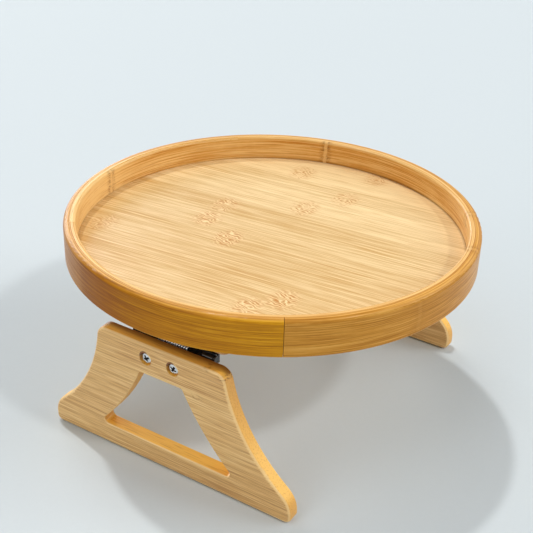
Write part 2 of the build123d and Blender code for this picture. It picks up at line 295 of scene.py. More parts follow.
def screw_points(profile, sides, sizes, head_depth):
    """A turned screw with a cross recess, its axis on Z and its head at -Z.

    The profile is radius and height from the head's middle to the tip. The
    recess adds to a head point's height: its depth there is the cross depth
    times a mask, the larger of two slots at right angles, each a product of
    two smooth steps in the plane, and it shallows towards the slots' ends.
    Points further down than the head's depth keep their height.
    """
    radius, height = profile
    turn = np.arange(sides) * 2 * np.pi / sides
    x = radius[:, None] * np.cos(turn)
    y = radius[:, None] * np.sin(turn)
    half = sizes.cross_width / 2
    soft, rise = 0.12 * MM, 0.45

    def slot(a, b):
        """One slot of the cross: a runs across it and b along it."""
        return eased((half + soft - np.abs(a)) / (2 * soft)) * eased(
            (sizes.cross_arm - np.abs(b)) / (4 * soft)
        )

    mask = np.maximum(slot(x, y), slot(y, x)) * (height <= head_depth)[:, None]
    shallow = 1 - rise * np.clip(np.hypot(x, y) / sizes.cross_arm, 0, 1)
    z = height[:, None] + sizes.cross_depth * mask * shallow
    return np.stack([x, y, z, mask], -1)


def head_rows(outer, crown, reach, fine):
    """Radii and heights across a crowned head: the height falls with the square of the radius.

    The rows are fine out to the reach of the cross recess, and coarse beyond.
    """
    middle, coarse = 0.02 * MM, 7
    inner = np.linspace(middle, reach, fine)
    rest = np.linspace(reach, outer, coarse)[1:]
    radius = np.concatenate([inner, rest])
    return radius, crown * (radius / outer) ** 2


def many_screws(name, spots, points, material):
    """One piece of like screws: the same grid of points turned and shifted to each spot.

    Each point carries how far it lies in the cross recess, from 0 to 1.
    """
    rows, sides = points.shape[:2]
    flat = points.reshape(-1, 4)
    every = np.concatenate([flat[:, :3] @ turn.T + spot for spot, turn in spots])
    ring = np.arange(sides)
    faces = []
    for start in range(0, len(every), len(flat)):
        faces += grid_faces(rows, sides, start)[:, ::-1].tolist()
        faces += [(ring + start).tolist(), (ring[::-1] + start + len(flat) - sides).tolist()]
    piece = new_piece(name, every, faces, material)
    recess = piece.data.attributes.new("recess", "FLOAT", "POINT")
    recess.data.foreach_set("value", np.tile(flat[:, 3], len(spots)).astype(np.float32))
    return piece


# Materials


# Settings that many nodes share
SMOOTH = {"interpolation_type": "SMOOTHSTEP"}
TONES = {"data_type": "RGBA"}


def add(tree, kind, inputs=(), out=0, stops=(), **settings):
    """Adds one node with its settings and links, and gives back one of its outputs.

    Each input is a socket or a constant. stops are a ramp's places and colours.
    """
    node = tree.nodes.new("ShaderNode" + kind)
    for key, value in settings.items():
        setattr(node, key, value)
    for i, (place, tone) in enumerate(stops):
        band = node.color_ramp.elements
        stop = band[i] if i < 2 else band.new(place)
        stop.position, stop.color = place, tone
    for key, value in inputs.items() if isinstance(inputs, dict) else enumerate(inputs):
        if isinstance(value, bpy.types.NodeSocket):
            tree.links.new(value, node.inputs[key])
        else:
            node.inputs[key].default_value = value
    return node.outputs[out] if node.outputs else None


def new_material(name):
    """An empty node material and its tree."""
    material = bpy.data.materials.new(name)
    material.use_nodes = True
    material.node_tree.nodes.clear()
    return material, material.node_tree


def dress(node_name, material):
    """Gives a solid from the frame its finish."""
    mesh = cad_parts[node_name].data
    mesh.materials.clear()
    mesh.materials.append(material)


def flat_grain(tree, turn=0.0, across="Y"):
    """Lengths along, across and into a straight board, in metres, from Object coordinates."""
    place = add(tree, "TexCoord", out="Object")
    turned = add(tree, "Mapping", {"Vector": place, "Rotation": (0, 0, -turn)})
    split = add(tree, "SeparateXYZ", (turned,)).node.outputs
    return split["X"], split[across], split["Z" if across == "Y" else "Y"]


def ring_grain(tree, joint):
    """Lengths along, across and into a bent ply: arc from its joint, height plus radius, radius."""
    place = add(tree, "TexCoord", out="Object")
    x, y, z = add(tree, "SeparateXYZ", (place,)).node.outputs
    angle = add(tree, "Math", (y, x), operation="ARCTAN2")
    full = 2 * math.pi
    turn = add(tree, "Math", (angle, 1 / full, -joint / full), operation="MULTIPLY_ADD")
    share = add(tree, "Math", (turn,), operation="FRACT")
    along = add(tree, "Math", (share, full * RIM_RADIUS), operation="MULTIPLY")
    flat = add(tree, "CombineXYZ", (x, y))
    radius = add(tree, "VectorMath", (flat,), "Value", operation="LENGTH")
    height = add(tree, "Math", (z, radius), operation="ADD")
    return along, height, radius


def streaks(tree, grain, long, wide, detail=3.0, rough=0.55, seed=0.0, warp=0.0):
    """Noise drawn out along the grain: each length over the size of a streak that way."""
    parts = [
        add(tree, "Math", (socket, 1 / (size * MM), seed), operation="MULTIPLY_ADD")
        for socket, size in zip(grain, (long, wide, wide))
    ]
    place = add(tree, "CombineXYZ", parts)
    inputs = {"Vector": place, "Scale": 1.0, "Detail": detail, "Roughness": rough}
    return add(tree, "TexNoise", {**inputs, "Distortion": warp}, "Fac")


def laid_over(tree, base, tone, mask, share):
    """The base with a tone over it, as strong as the mask times the share."""
    strength = add(tree, "Math", (mask, share), operation="MULTIPLY")
    return add(tree, "Mix", {0: strength, 6: base, 7: tone}, 2, **TONES)


def facing(tree, axis, either_way=True):
    """How squarely the surface faces along an axis, either way or only towards plus."""
    part = add(tree, "SeparateXYZ", (add(tree, "TexCoord", out="Normal"),), axis)
    return add(tree, "Math", (part,), operation="ABSOLUTE") if either_way else part


def near(tree, grain, spot, size, inner):
    """Mask of one place on the grain: its share inside, none past the size, by scaled distance."""
    x, y, share = spot
    flat = add(tree, "CombineXYZ", grain[:2])
    away = add(tree, "VectorMath", (flat, (x * MM, y * MM, 0)), operation="SUBTRACT")
    scale = (1 / (size[0] * MM), 1 / (size[1] * MM), 0)
    scaled = add(tree, "VectorMath", (away, scale), operation="MULTIPLY")
    far = add(tree, "VectorMath", (scaled,), "Value", operation="LENGTH")
    return add(tree, "MapRange", (far, 1.0, inner, 0.0, share), **SMOOTH)


def node_scars(spots, size, scar, light, seed):
    """Node scars: within each place the fibres break into short slanted dashes, brown and pale.

    The dashes are a sine of the way across plus a third of the way along,
    bent by a slow noise and cut into short lengths by a second one.
    """
    spacing, slope, bending, stain = 2.6 * MM, 0.33, 22.0, 0.30

    def draw(tree, grain, base):
        mask = 0.0
        for spot in spots:
            one = near(tree, grain, spot, size, inner=0.3)
            mask = add(tree, "Math", (mask, one), operation="MAXIMUM")
        ragged = streaks(tree, grain, 9.0, 5.0, detail=2.0, seed=seed + 2.0)
        ragged = add(tree, "MapRange", (ragged, 0.28, 0.46), **SMOOTH)
        mask = add(tree, "Math", (mask, ragged), operation="MULTIPLY")
        slant = add(tree, "Math", (grain[0], slope, grain[1]), operation="MULTIPLY_ADD")
        turn = add(tree, "Math", (slant, 2 * math.pi / spacing), operation="MULTIPLY")
        bend = streaks(tree, grain, 7.0, 5.0, detail=1.0, seed=seed + 6.0)
        turn = add(tree, "Math", (bend, bending, turn), operation="MULTIPLY_ADD")
        wave = add(tree, "Math", (turn,), operation="SINE")
        cut = streaks(tree, grain, 5.0, 1.8, detail=1.0, seed=seed + 4.0)
        cut = add(tree, "MapRange", (cut, 0.40, 0.52), **SMOOTH)
        dark = add(tree, "MapRange", (wave, 0.1, 0.8), **SMOOTH)
        dark = add(tree, "Math", (dark, cut), operation="MULTIPLY")
        pale = add(tree, "MapRange", (wave, -0.2, -0.8, 0.0, 0.9), **SMOOTH)
        for share, tone in ((stain, scar), (pale, light), (dark, scar)):
            base = laid_over(tree, base, tone, mask, share)
        return base

    return draw


def culm_mark(tree, grain, base, spot, reach, scar, light, seed):
    """A stem joint across a strip: a pale line square to the grain with dark dashes both sides."""
    place, share = spot[0] * MM, spot[2]
    wandering, line_edge, line_core = 3.0 * MM, 2.0 * MM, 0.7 * MM
    side_edge, side_core = 6.5 * MM, 1.2 * MM
    window = near(tree, grain, spot, (reach, reach), inner=0.8)
    wander = streaks(tree, grain, 40, 5.0, seed=seed)
    middle = add(tree, "Math", (wander, wandering, place), operation="MULTIPLY_ADD")
    away = add(tree, "Math", (grain[0], middle), operation="SUBTRACT")
    away = add(tree, "Math", (away,), operation="ABSOLUTE")
    dashes = streaks(tree, grain, 3.2, 1.0, detail=1.5, seed=seed + 3, warp=0.8)
    dashes = add(tree, "MapRange", (dashes, 0.48, 0.64, 0.0, 0.75 * share), **SMOOTH)
    line = add(tree, "MapRange", (away, line_edge, line_core), **SMOOTH)
    line = add(tree, "Math", (line, window), operation="MULTIPLY")
    sides = add(tree, "MapRange", (away, side_edge, side_core), **SMOOTH)
    sides = add(tree, "Math", (sides, window), operation="MULTIPLY")
    base = laid_over(tree, base, scar, sides, 0.22 * share)
    base = laid_over(tree, base, scar, sides, dashes)
    return laid_over(tree, base, light, line, 0.65 * share)


def bamboo(name, grain_of, tones, fibre, look):
    """A bamboo finish: broad bands, fibre streaks and pores along the grain, strips and node scars.

    tones are the pale, main and dark colours. look holds the strength of the
    bands, streaks, hairs, pores and strips, the gloss, what shifts the level
    and what marks the piece. The level of tone is a weighted sum of the noises
    about one half.
    """
    light, mid, dark = tones
    material, tree = new_material(name)
    grain = grain_of(tree)
    seed, run = look.get("seed", 0.0), look.get("run", 70)
    bands, fibres, hairs, pores = (
        streaks(tree, grain, long, wide, detail, rough, start + seed)
        for long, wide, detail, rough, start in (
            (160, 5.0, 2.0, 0.55, 3.1),
            (run, fibre * 1.5, 3.0, 0.7, 7.7),
            (run * 0.45, fibre * 0.8, 2.0, 0.7, 5.2),
            (run * 0.18, 0.9, 1.0, 0.55, 12.3),
        )
    )

    parts = [(bands, look["bands"]), (fibres, look["streaks"]), (hairs, look["hairs"])]
    if "strips" in look:
        offset = 0.37 + seed
        cell = add(tree, "Math", (grain[1], 1 / look["strip"], offset), operation="MULTIPLY_ADD")
        row = add(tree, "Math", (cell,), operation="FLOOR")
        tone = add(tree, "TexWhiteNoise", {"W": row}, "Value", noise_dimensions="1D")
        parts.append((tone, look["strips"]))
    level = 0.5 - 0.5 * sum(weight for _, weight in parts)
    for value, weight in parts:
        level = add(tree, "Math", (value, weight, level), operation="MULTIPLY_ADD")
    for shift in look.get("shifts", ()):
        level = shift(tree, grain, level)
    base = add(tree, "ValToRGB", (level,), stops=((0.12, dark), (0.5, mid), (0.88, light)))
    for start, end, share, tone in ((0.56, 0.70, 1.0, dark), (0.42, 0.30, 0.7, light)):
        share = add(tree, "MapRange", (pores, start, end, 0.0, look["pores"] * share), **SMOOTH)
        base = add(tree, "Mix", {0: share, 6: base, 7: tone}, 2, **TONES)
    for mark in look.get("marks", ()):
        base = mark(tree, grain, base)

    dull, bright = look["rough"] + 0.06, look["rough"] - 0.05
    gloss = add(tree, "MapRange", (fibres, 0.3, 0.7, dull, bright), **SMOOTH)
    relief = add(tree, "Bump", {"Strength": 0.35, "Distance": 0.05 * MM, "Height": fibres})
    surface = {
        "Base Color": base,
        "Roughness": gloss,
        "IOR": 1.5,
        "Specular IOR Level": look.get("shine", 0.35),
        "Coat Weight": look["coat"],
        "Coat Roughness": look["coat_rough"],
        "Normal": relief,
    }
    add(tree, "OutputMaterial", (add(tree, "BsdfPrincipled", surface),))
    return material


def metal(name, tone, rough, metallic, speckle, grit, shade=0.0):
    """A plated or painted steel: fine noise moves its tone, roughness and relief.

    shade is how far a screw's cross recess is darkened to near black, as painted shade.
    """
    material, tree = new_material(name)
    place = add(tree, "TexCoord", out="Object")
    inputs = {"Vector": place, "Scale": 1 / (grit * MM), "Detail": 3.0, "Roughness": 0.6}
    noise = add(tree, "TexNoise", inputs, "Fac")
    bright = [min(1.0, c * (1 + speckle) + 0.01) for c in tone]
    base = add(tree, "Mix", {0: noise, 6: tone, 7: bright}, 2, **TONES)
    if shade:
        # Painted shade: near black laid into a screw's cross recess
        painted_recess_shade = from_hex("#0c0c0d")
        recess = add(tree, "Attribute", out="Fac", attribute_name="recess")
        share = add(tree, "MapRange", (recess, 0.25, 0.75, 0.0, shade), **SMOOTH)
        base = add(tree, "Mix", {0: share, 6: base, 7: painted_recess_shade}, 2, **TONES)
    gloss = add(tree, "MapRange", (noise, 0.25, 0.75, rough * 0.8, rough * 1.25))
    relief = add(tree, "Bump", {"Strength": 0.12, "Distance": 0.03 * MM, "Height": noise})
    surface = {
        "Base Color": base,
        "Roughness": gloss,
        "Metallic": metallic,
        "Coat Weight": 0.7 * (1 - metallic),
        "Coat Roughness": 0.08,
        "Normal": relief,
    }
    add(tree, "OutputMaterial", (add(tree, "BsdfPrincipled", surface),))
    return material


# Operators


class SOFATRAY_OT_stage(bpy.types.Operator):
    """Puts up the floor, the lamps, the room light and the camera"""

    bl_idname = "sofatray.stage"
    bl_label = "Studio"

    def execute(self, context):
        stage = context.scene.sofa_tray_stage
        lens = bpy.data.cameras.new("Viewpoint")
        lens.lens = stage.focal_length
        lens.sensor_width = 36.0
        lens.clip_end = 50.0
        camera = bpy.data.objects.new("Viewpoint", lens)
        camera.location = CAMERA_PLACE
        camera.rotation_euler = [math.radians(v) for v in CAMERA_TURN]
        context.collection.objects.link(camera)
        context.scene.camera = camera

        material, tree = new_material("Studio paper, pale matt")
        place = add(tree, "TexCoord", out="Object")
        fine = add(tree, "TexNoise", {"Vector": place, "Scale": 400.0, "Detail": 3.0}, "Fac")
        darker = [c * 0.97 for c in stage.floor_tone]
        tone = add(tree, "Mix", {0: fine, 6: darker, 7: stage.floor_tone}, 2, **TONES)
        paper = add(tree, "BsdfPrincipled", {"Base Color": tone, "Roughness": 0.85})
        # From below the paper is clear, so the tray's underside can be seen
        below = add(tree, "NewGeometry", out="Backfacing")
        clear = add(tree, "BsdfTransparent")
        add(tree, "OutputMaterial", (add(tree, "MixShader", (below, paper, clear)),))
        reach, below_feet = 6.0, 0.3 * MM
        corners = np.array([(-1, -1), (1, -1), (1, 1), (-1, 1)]) * reach
        points = np.column_stack([corners, np.full(4, cad_box[0][2] - below_feet)])
        floor = new_piece("studio_floor", points, [[0, 1, 2, 3]], material, smooth=False)

        # Lamps round the room: turn about Z from +X, height above the floor,
        # how wide each looks from the tray, all in degrees, and strength
        lamps = (
            ("Window, left", 150, 15, 40, 1.72),
            ("Window, right", 30, 28, 38, 1.22),
            ("Lamp, front", -105, 25, 40, 0.55),
            ("Lamp, back", 75, 28, 38, 0.27),
            ("Ceiling, front", -120, 58, 38, 0.50),
            ("Lamp, high left", 150, 65, 3, 1.0),
            ("Lamp, high right", -5, 50, 5, 0.72),
        )
        for name, turn, height, spread, strength in lamps:
            light = bpy.data.lights.new(name, "SUN")
            light.energy = strength * stage.lamp_level
            light.angle = math.radians(spread)
            lamp = bpy.data.objects.new(name, light)
            turn, height = math.radians(turn), math.radians(height)
            level = math.cos(height)
            towards = Vector((math.cos(turn) * level, math.sin(turn) * level, math.sin(height)))
            lamp.location = towards
            lamp.rotation_euler = towards.to_track_quat("Z", "Y").to_euler()
            context.collection.objects.link(lamp)

        world = bpy.data.worlds.new("Room")
        world.use_nodes = True
        context.scene.world = world
        room = world.node_tree
        room.nodes.clear()
        light = add(room, "Background", (stage.sky_tone, stage.sky))
        # The camera, gloss and clear pieces see pale walls, which add no light
        walls = add(room, "Background", (stage.wall_tone, 1.0))
        path = add(room, "LightPath").node.outputs
        seen = 0.0
        for ray in ("Is Camera Ray", "Is Glossy Ray", "Is Transmission Ray"):
            seen = add(room, "Math", (seen, path[ray]), operation="MAXIMUM")
        add(room, "OutputWorld", (add(room, "MixShader", (seen, light, walls)),))
        context.scene.view_settings.view_transform = "Standard"
        return {"FINISHED"}


def painted_floor_light(tree, grain, level):
    """Painted light: the floor grows lighter along the grain, towards +X, and across it, towards
    +Y.
    """
    for way, start, end, least, most in (
        (grain[0], -20.0, 120.0, -0.02, 0.10),
        (grain[1], 20.0, 120.0, -0.04, 0.30),
    ):
        shift = add(tree, "MapRange", (way, start * MM, end * MM, least, most), **SMOOTH)
        level = add(tree, "Math", (level, shift), operation="ADD")
    return level


class SOFATRAY_OT_tray_floor(bpy.types.Operator):
    """Finishes the tray floor in pale straight-grained bamboo strips"""

    bl_idname = "sofatray.tray_floor"
    bl_label = "Tray floor"

    def execute(self, context):
        sizes, tones = chosen(context)
        turn = sizes.floor_grain_turn
        # Node scars: X and Y in mm, and how strong each is
        spots = [
            (-49.8, -5.7, 0.9), (-52.0, 18.6, 0.8), (-21.3, -22.5, 1.0), (-2.6, 48.3, 0.9),
            (14.4, 77.2, 0.85), (-35.4, 100.7, 0.75), (17.8, 123.4, 0.6), (-104.5, -52.8, 0.6),
            (39.3, -89.8, 0.9), (52.2, -70.6, 1.0),
        ]
        cos, sin = math.cos(turn), math.sin(turn)
        turned = [(x * cos + y * sin, y * cos - x * sin, share) for x, y, share in spots]

        def floor_corner_shade(tree, grain, base):
            """Painted shade in the corner by the rim: a thin brown line, fading towards the left.
            """
            start, full, left = 129.5 * MM, 131.4 * MM, -120.0 * MM
            flat = add(tree, "CombineXYZ", grain[:2])
            far = add(tree, "VectorMath", (flat,), "Value", operation="LENGTH")
            edge = add(tree, "MapRange", (far, start, full, 0.0, 0.45), **SMOOTH)
            shade_fade = add(tree, "MapRange", (grain[0], left, 0.0, 0.3, 1.0), **SMOOTH)
            return laid_over(tree, base, tones.corner, edge, shade_fade)

        # Horizontal-pressed bamboo under a thin satin lacquer: long fine
        # fibres, faint strips and crooked node scars
        look = dict(
            bands=0.4, streaks=1.0, hairs=1.9, run=120, pores=0.4,
            strips=0.26, strip=sizes.strip_width,
            rough=0.4, shine=0.3, coat=0.1, coat_rough=0.3,
            shifts=[painted_floor_light],
            marks=[
                node_scars(turned, (13.0, 17.0), tones.floor_scar, tones.floor_light, seed=0.0),
                floor_corner_shade,
            ],
        )
        finish = bamboo(
            "Pressed bamboo, satin lacquer, tray floor",
            lambda tree: flat_grain(tree, turn),
            (tones.floor_light, tones.floor_mid, tones.floor_dark),
            sizes.fibre_width / MM,
            look,
        )
        dress("tray_floor", finish)
        return {"FINISHED"}


def leaves(tree, grain, level):
    """Level by radius: the ply's thin leaves, cut across, show as lines along the top."""
    waving, inside, outside = 1.2 * MM, 131.8 * MM, 140.8 * MM
    wave = streaks(tree, grain, 90, 90, seed=6.0)
    radius = add(tree, "Math", (wave, waving, grain[2]), operation="MULTIPLY_ADD")
    place = add(tree, "MapRange", (radius, inside, outside))
    # Places through the wall from the inside, and the grey of the leaf there
    greys = (
        (0.00, 0.50), (0.07, 0.74), (0.15, 0.84), (0.22, 0.55), (0.29, 0.80), (0.40, 0.85),
        (0.455, 0.15), (0.50, 0.70), (0.58, 0.42), (0.66, 0.78), (0.76, 0.40), (0.85, 0.70),
        (0.93, 0.62), (1.00, 0.42),
    )
    leaf = add(tree, "ValToRGB", (place,), stops=[(at, (v, v, v, 1.0)) for at, v in greys])
    leaf = add(tree, "Math", (leaf, 0.5), operation="SUBTRACT")
    return add(tree, "Math", (level, leaf), operation="ADD")


class SOFATRAY_OT_rim(bpy.types.Operator):
    """Finishes the two bent plies of the rim, grain round the ring"""

    bl_idname = "sofatray.rim"
    bl_label = "Rim"

    def execute(self, context):
        sizes, tones = chosen(context)
        outer = (tones.outer_light, tones.outer_mid, tones.outer_dark)
        inner = (tones.rim_light, tones.rim_mid, tones.rim_dark)
        around = 2 * math.pi * RIM_RADIUS / MM

        def arc(degrees, joint):
            """The way round the ply from its joint to a turn about Z, in millimetres."""
            return ((degrees - math.degrees(joint)) % 360) / 360 * around

        def painted_inner_light(tree, grain, level):
            """Painted light: the inner ply's strip grows lighter towards its end, left of the
            joint.
            """
            start, full = (arc(v, sizes.inner_joint) * MM for v in (160.0, 190.0))
            shift = add(tree, "MapRange", (grain[0], start, full, 0.0, 0.3), **SMOOTH)
            return add(tree, "Math", (level, shift), operation="ADD")

        def corner(tree, grain, base):
            """Painted shade at the inner wall's foot: a thin brown line, fading towards the left.
            """
            line_top, line_core = 19.4 * MM, 17.7 * MM
            wall_edge, wall_face = 134.0 * MM, 133.0 * MM
            height = add(tree, "Math", (grain[1], grain[2]), operation="SUBTRACT")
            foot = add(tree, "MapRange", (height, line_top, line_core, 0.0, 0.55), **SMOOTH)
            start, full = (arc(v, sizes.inner_joint) * MM for v in (95.0, 160.0))
            shade_fade = add(tree, "MapRange", (grain[0], start, full, 1.0, 0.3), **SMOOTH)
            foot = add(tree, "Math", (foot, shade_fade), operation="MULTIPLY")
            inside = add(tree, "MapRange", (grain[2], wall_edge, wall_face), **SMOOTH)
            return laid_over(tree, base, tones.corner, foot, inside)

        def outer_tone_and_shade(tree, grain, base):
            """The outer ply's wall is browner over a third of its length, with an olive patch:
            painted shade mixed with the ply's own tone.
            """
            wall_edge, wall_face = 137.2 * MM, 139.8 * MM
            share = add(tree, "Math", (grain[0], 1 / (around * MM)), operation="MULTIPLY")
            # Places round the ring from the joint, and the tint there
            tints = (
                (0.00, "#fffcea"), (0.10, "#f6f0e2"), (0.30, "#fffcee"), (0.62, "#fff6e4"),
                (0.70, "#ecdcb4"), (0.825, "#dcc898"), (0.838, "#c6a610"), (0.87, "#ccaa10"),
                (0.92, "#f0de60"), (0.999, "#fff66c"),
            )
            tint = add(tree, "ValToRGB", (share,), stops=[(at, from_hex(v)) for at, v in tints])
            wall = add(tree, "MapRange", (grain[2], wall_edge, wall_face), **SMOOTH)
            return add(tree, "Mix", {0: wall, 6: base, 7: tint}, 2, blend_type="MULTIPLY", **TONES)

        def culms(places, reach, joint, tone):
            """Stem joints: turn about Z in degrees, height plus radius in mm, and strength."""

            def draw(tree, grain, base):
                for degrees, middle, share in places:
                    spot, seed = (arc(degrees, joint), middle, share), degrees / 50
                    base = culm_mark(tree, grain, base, spot, reach, tones.scar, tone[0], seed)
                return base

            return draw

        # Steam-bent bamboo strip under gloss lacquer: even fibres round the
        # ring, deeper and warmer than the floor
        common = dict(
            bands=0.45, streaks=1.0, hairs=1.6, pores=0.35, run=110,
            rough=0.32, coat=0.05, coat_rough=0.14,
        )

        def dress_ply(name, joint, tone, **look):
            """Finishes one ply, its fibres a little finer than the floor's."""
            fibre = sizes.fibre_width / MM * 0.85
            title = "Bent bamboo ply, gloss lacquer, " + name.replace("_", " ")
            look.update(common)
            dress(name, bamboo(title, lambda tree: ring_grain(tree, joint), tone, fibre, look))

        outer_spots = [(33.4, 173.0, 0.8), (11.4, 173.0, 0.8)]
        outer_spots += [(150.0, 163.0, 0.9), (-20.0, 163.0, 0.4)]
        dress_ply(
            "rim_outer_band", sizes.outer_joint, outer, seed=0.0, shine=0.11,
            shifts=[leaves],
            marks=[outer_tone_and_shade, culms(outer_spots, 13.0, sizes.outer_joint, outer)],
        )
        inner_spots = [(103.2, 158.0, 1.0), (-175.1, 158.0, 1.0)]
        inner_spots += [(33.4, 168.0, 0.8), (11.4, 168.0, 0.8)]
        dress_ply(
            "rim_inner_band", sizes.inner_joint, inner, seed=5.0, shine=0.15,
            shifts=[leaves, painted_inner_light],
            marks=[corner, culms(inner_spots, 12.0, sizes.inner_joint, inner)],
        )
        return {"FINISHED"}


class SOFATRAY_OT_crossboard(bpy.types.Operator):
    """Finishes the board under the tray in plain bamboo"""

    bl_idname = "sofatray.crossboard"
    bl_label = "Crossboard"

    def execute(self, context):
        sizes, tones = chosen(context)
        # Laminated bamboo with a plain oiled finish, grain along the board
        spots = [(-70.0, 12.0, 0.9), (25.0, -26.0, 0.9), (84.0, 30.0, 0.8)]
        look = dict(
            bands=0.6, streaks=1.1, hairs=0.8, pores=0.4, seed=9.0,
            strips=0.25, strip=sizes.strip_width,
            rough=0.5, coat=0.0, coat_rough=0.3,
            marks=[node_scars(spots, (9.0, 11.0), tones.scar, tones.board_light, seed=3.0)],
        )
        finish = bamboo(
            "Laminated bamboo, oiled, crossboard",
            lambda tree: flat_grain(tree, math.radians(90)),
            (tones.board_light, tones.board_mid, tones.board_dark),
            sizes.fibre_width / MM,
            look,
        )
        dress("crossboard", finish)
        return {"FINISHED"}


def calm_ends(tree, grain, level):
    """End grain shows the fibres as fine even dots: there the level keeps near its middle."""
    middle = 0.6
    keep = add(tree, "MapRange", (facing(tree, "X"), 0.3, 0.85, 1.0, 0.3), **SMOOTH)
    away = add(tree, "Math", (level, middle), operation="SUBTRACT")
    return add(tree, "Math", (away, keep, middle), operation="MULTIPLY_ADD")


def painted_top_light(tree, grain, level):
    """Painted light: faces that look up are lighter."""
    up = facing(tree, "Z", either_way=False)
    shift = add(tree, "MapRange", (up, 0.3, 0.8, 0.0, 0.45), **SMOOTH)
    return add(tree, "Math", (level, shift), operation="ADD")


def painted_warm_edges(tree, grain, base):
    """Painted warm light on the edges of a wing: a golden tint, strongest where they look up or
    down.
    """
    beside, above = from_hex("#f2dfae"), from_hex("#ffe794")
    share = add(tree, "MapRange", (facing(tree, "Y"), 0.75, 0.3), **SMOOTH)
    up = add(tree, "MapRange", (facing(tree, "Z"), 0.2, 0.8), **SMOOTH)
    gold = add(tree, "Mix", {0: up, 6: beside, 7: above}, 2, **TONES)
    return add(tree, "Mix", {0: share, 6: base, 7: gold}, 2, blend_type="MULTIPLY", **TONES)


class SOFATRAY_OT_wings(bpy.types.Operator):
    """Finishes the two wings, grain across each wing"""

    bl_idname = "sofatray.wings"
    bl_label = "Wings"

    def execute(self, context):
        sizes, tones = chosen(context)

        def painted_top_shade(tree, grain, base):
            """Painted shade: the inner half of a wing's top is brown next to the hinge, where the
            tray shades it.
            """
            shade_start, shade_full = 126.5 * MM, 120.5 * MM
            below, above = -11.0 * MM, -9.0 * MM
            out = add(tree, "Math", (grain[2],), operation="ABSOLUTE")
            inner = add(tree, "MapRange", (out, shade_start, shade_full, 0.0, 0.8), **SMOOTH)
            top = add(tree, "MapRange", (grain[1], below, above), **SMOOTH)
            return laid_over(tree, base, tones.painted_wing_shade, inner, top)

        def counterbores(tree, grain, base):
            """Painted shade and light inside the counterbores: brown painted shade at the upper
            left, pale painted light below.
            """
            height, radius, left, up, shade_reach = -17.1, 4.6, 1.5, 1.4, 4.7
            for x in (-WING_SCREW[0], WING_SCREW[0]):
                spot = (x - left, height + up, 0.9)
                bore = near(tree, grain, (x, height, 1.0), (radius, radius), inner=0.97)
                painted_wing_shade = near(tree, grain, spot, (shade_reach, shade_reach), inner=0.6)
                base = laid_over(tree, base, tones.wing_light, bore, 0.7)
                base = laid_over(tree, base, tones.painted_wing_shade, bore, painted_wing_shade)
            return base

        def painted_edge_highlights(tree, grain, base):
            """Painted highlights on the edges: lighter where the surface faces between outwards and
            sideways.
            """
            out = facing(tree, "Y")
            side = add(tree, "MapRange", (out, 0.25, 0.55), **SMOOTH)
            front = add(tree, "MapRange", (out, 0.97, 0.85, 0.0, 0.55), **SMOOTH)
            return laid_over(tree, base, tones.wing_light, side, front)

        # Laminated bamboo under satin lacquer: brown fibre streaks across the
        # wing and fine speckled end grain on its sides
        spots = [(28.0, -32.0, 0.3), (36.0, -6.5, 0.6), (49.0, -10.0, 0.7)]
        look = dict(
            bands=0.45, streaks=0.9, hairs=1.7, run=95, pores=0.4, seed=2.0,
            strips=0.15, strip=sizes.strip_width,
            rough=0.42, shine=0.3, coat=0.1, coat_rough=0.25,
            shifts=[calm_ends, painted_top_light],
            marks=[
                node_scars(spots, (6.5, 3.6), tones.scar, tones.wing_light, seed=6.0),
                painted_warm_edges,
                painted_top_shade,
                counterbores,
                painted_edge_highlights,
            ],
        )
        material = bamboo(
            "Laminated bamboo, satin lacquer, wings",
            lambda tree: flat_grain(tree, across="Z"),
            (tones.wing_light, tones.wing_mid, tones.wing_dark),
            sizes.fibre_width / MM * 0.85,
            look,
        )
        for side in ("front", "back"):
            dress(side + "_wing", material)
        return {"FINISHED"}


class SOFATRAY_OT_hinges(bpy.types.Operator):
    """Finishes the hinge plates and pins"""

    bl_idname = "sofatray.hinges"
    bl_label = "Hinges"

    def execute(self, context):
        tones = context.scene.sofa_tray_colours
        # Pressed steel with black electrophoretic paint: dark, glossy and
        # slightly uneven
        finish = {"rough": 0.16, "metallic": 0.0, "speckle": 0.6, "grit": 1.2}
        black = metal("Steel, black paint, hinges", tones.black, **finish)
        # Turned steel pin, painted with the plates but rubbed a little brighter
        finish = {"rough": 0.18, "metallic": 0.3, "speckle": 1.2, "grit": 0.8}
        pin = metal("Steel, rubbed black paint, hinge pins", tones.black, **finish)
        for side in ("front", "back"):
            dress(side + "_hinge_base", black)
            dress(side + "_wing_leaf", black)
            dress(side + "_hinge_pin", pin)
        return {"FINISHED"}


class SOFATRAY_OT_springs(bpy.types.Operator):
    """Makes the round-wire springs on the hinge pins"""

    bl_idname = "sofatray.springs"
    bl_label = "Springs"

    def execute(self, context):
        sizes, tones = chosen(context)
        # Drawn spring wire with a bright skin: grey, each turn with a sharp glint
        finish = {"rough": 0.24, "metallic": 1.0, "speckle": 0.2, "grit": 0.6}
        material = metal("Spring wire, bright drawn steel", tones.wire, **finish)
        line = spring_line(sizes)
        points, faces = tube(line, sizes.wire_diameter / 2, sides=12)
        for side in ("front", "back"):
            piece = new_piece(side + "_spring_wire", on_side(points, side), faces, material)
            ends = np.stack([line[LEG_POINTS], line[-LEG_POINTS - 1]]) * [1.0, 0, 0]
            ends = on_side(ends, side)
            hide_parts(side + "_spring")
            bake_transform(piece)
        return {"FINISHED"}


